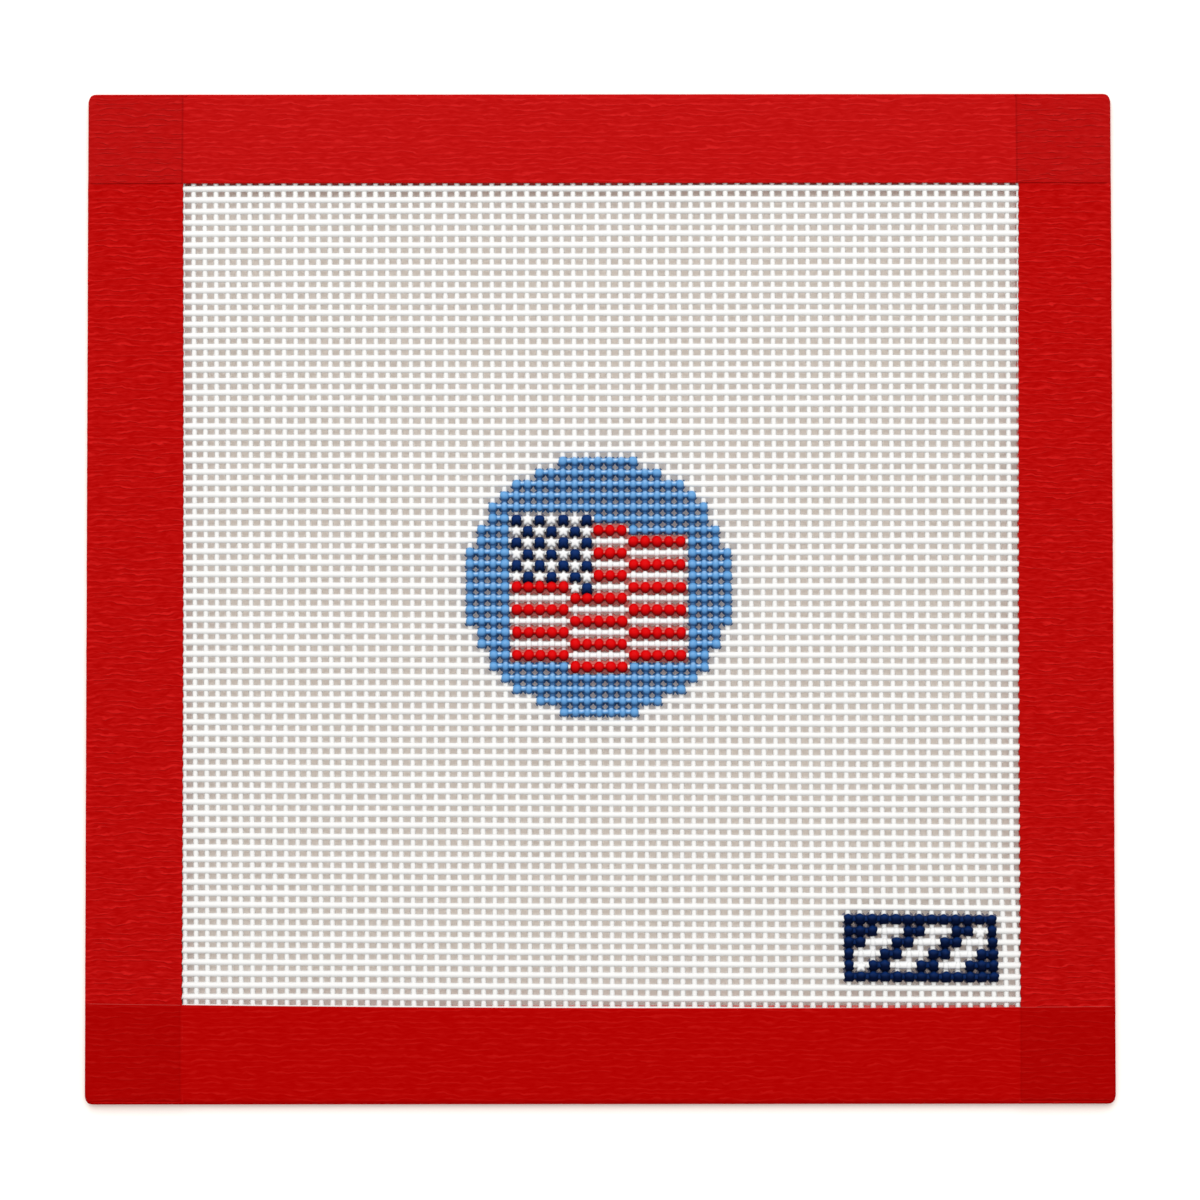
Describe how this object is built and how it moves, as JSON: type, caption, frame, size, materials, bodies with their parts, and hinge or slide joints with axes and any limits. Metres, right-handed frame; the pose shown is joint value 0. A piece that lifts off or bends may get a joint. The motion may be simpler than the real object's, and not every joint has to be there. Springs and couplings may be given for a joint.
{
  "type": "needlepoint canvas panel",
  "caption": "Square of open needlepoint canvas, edges bound with folded paper tape, painted with a small round flag design, ready to stitch.",
  "frame": {"origin": "on the surface that the panel lies on, under its middle", "axes": "+X across the panel to its right, +Y to its top edge, +Z out of its painted face"},
  "size_m": [0.127, 0.125, 0.0036],
  "materials": {
    "canvas": "open interlock weave of stiff white cotton threads, with blue, red and navy painted threads",
    "tape": "matt red crepe paper"
  },
  "bodies": {
    "root": {"canvas": "canvas", "tape_left": "tape", "tape_right": "tape", "tape_top": "tape", "tape_bottom": "tape"}
  },
  "joints": []
}
